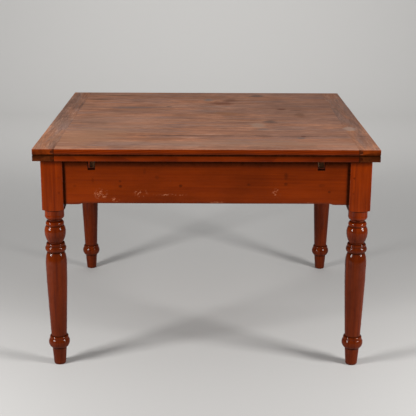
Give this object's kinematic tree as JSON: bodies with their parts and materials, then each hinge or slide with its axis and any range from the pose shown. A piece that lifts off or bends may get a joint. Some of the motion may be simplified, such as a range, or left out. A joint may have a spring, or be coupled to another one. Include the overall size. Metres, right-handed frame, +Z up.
{
  "type": "extendable dining table",
  "caption": "Square draw-leaf dining table: leaves slide out on long bearers from under a loose top, over turned legs with square heads and plain aprons.",
  "frame": {"origin": "on the floor, under the middle of the tabletop", "axes": "+Z up, +Y to the back; the leaves draw out along -Y (front) and +Y (back)"},
  "size_m": [1.14, 1.14, 0.78],
  "materials": {
    "leg_wood": "glossy orange-brown varnish on softwood, slightly worn",
    "apron_wood": "glossy orange-brown varnish on softwood, scuffed",
    "centre_board_wood": "thin worn varnish on softwood",
    "rail_wood": "bare aged softwood",
    "peg_wood": "dark oiled hardwood",
    "screw_steel": "dark aged steel",
    "top_wood": "dull worn varnish, greyed, glossy only on its front edge",
    "top_end_wood": "dull worn varnish, greyed",
    "leaf_wood": "satin varnish on softwood",
    "leaf_end_wood": "satin varnish on softwood, darker",
    "bearer_wood": "bare rubbed softwood"
  },
  "bodies": {
    "frame": {"apron_back": "apron_wood", "apron_front": "apron_wood", "apron_left": "apron_wood", "apron_right": "apron_wood", "centre_board": "centre_board_wood", "centre_board_screws": "screw_steel", "centre_rail": "rail_wood", "leg_back_left": "leg_wood", "leg_back_right": "leg_wood", "leg_front_left": "leg_wood", "leg_front_right": "leg_wood", "tenon_pegs_back": "peg_wood", "tenon_pegs_front": "peg_wood"},
    "top": {"top_board_1": "top_wood", "top_board_2": "top_wood", "top_board_3": "top_wood", "top_board_4": "top_wood", "top_end_left": "top_end_wood", "top_end_right": "top_end_wood", "top_locating_pegs": "peg_wood"},
    "front_leaf": {"front_bearer_left": "bearer_wood", "front_bearer_right": "bearer_wood", "front_leaf_board_1": "leaf_wood", "front_leaf_board_2": "leaf_wood", "front_leaf_board_3": "leaf_wood", "front_leaf_end_left": "leaf_end_wood", "front_leaf_end_right": "leaf_end_wood", "front_leaf_screws": "screw_steel", "front_stop_dowels": "peg_wood"},
    "back_leaf": {"back_bearer_left": "bearer_wood", "back_bearer_right": "bearer_wood", "back_leaf_board_1": "leaf_wood", "back_leaf_board_2": "leaf_wood", "back_leaf_board_3": "leaf_wood", "back_leaf_end_left": "leaf_end_wood", "back_leaf_end_right": "leaf_end_wood", "back_leaf_screws": "screw_steel", "back_stop_dowels": "peg_wood"}
  },
  "joints": [
    {"name": "front_leaf_slide", "type": "slide", "parent": "frame", "child": "front_leaf", "axis": [0, -1, 0], "range_m": [0, 0.441]},
    {"name": "back_leaf_slide", "type": "slide", "parent": "frame", "child": "back_leaf", "axis": [0, 1, 0], "range_m": [0, 0.441]},
    {"name": "top_lift", "type": "slide", "parent": "frame", "child": "top", "axis": [0, 0, 1], "range_m": [0, 0.022]}
  ]
}
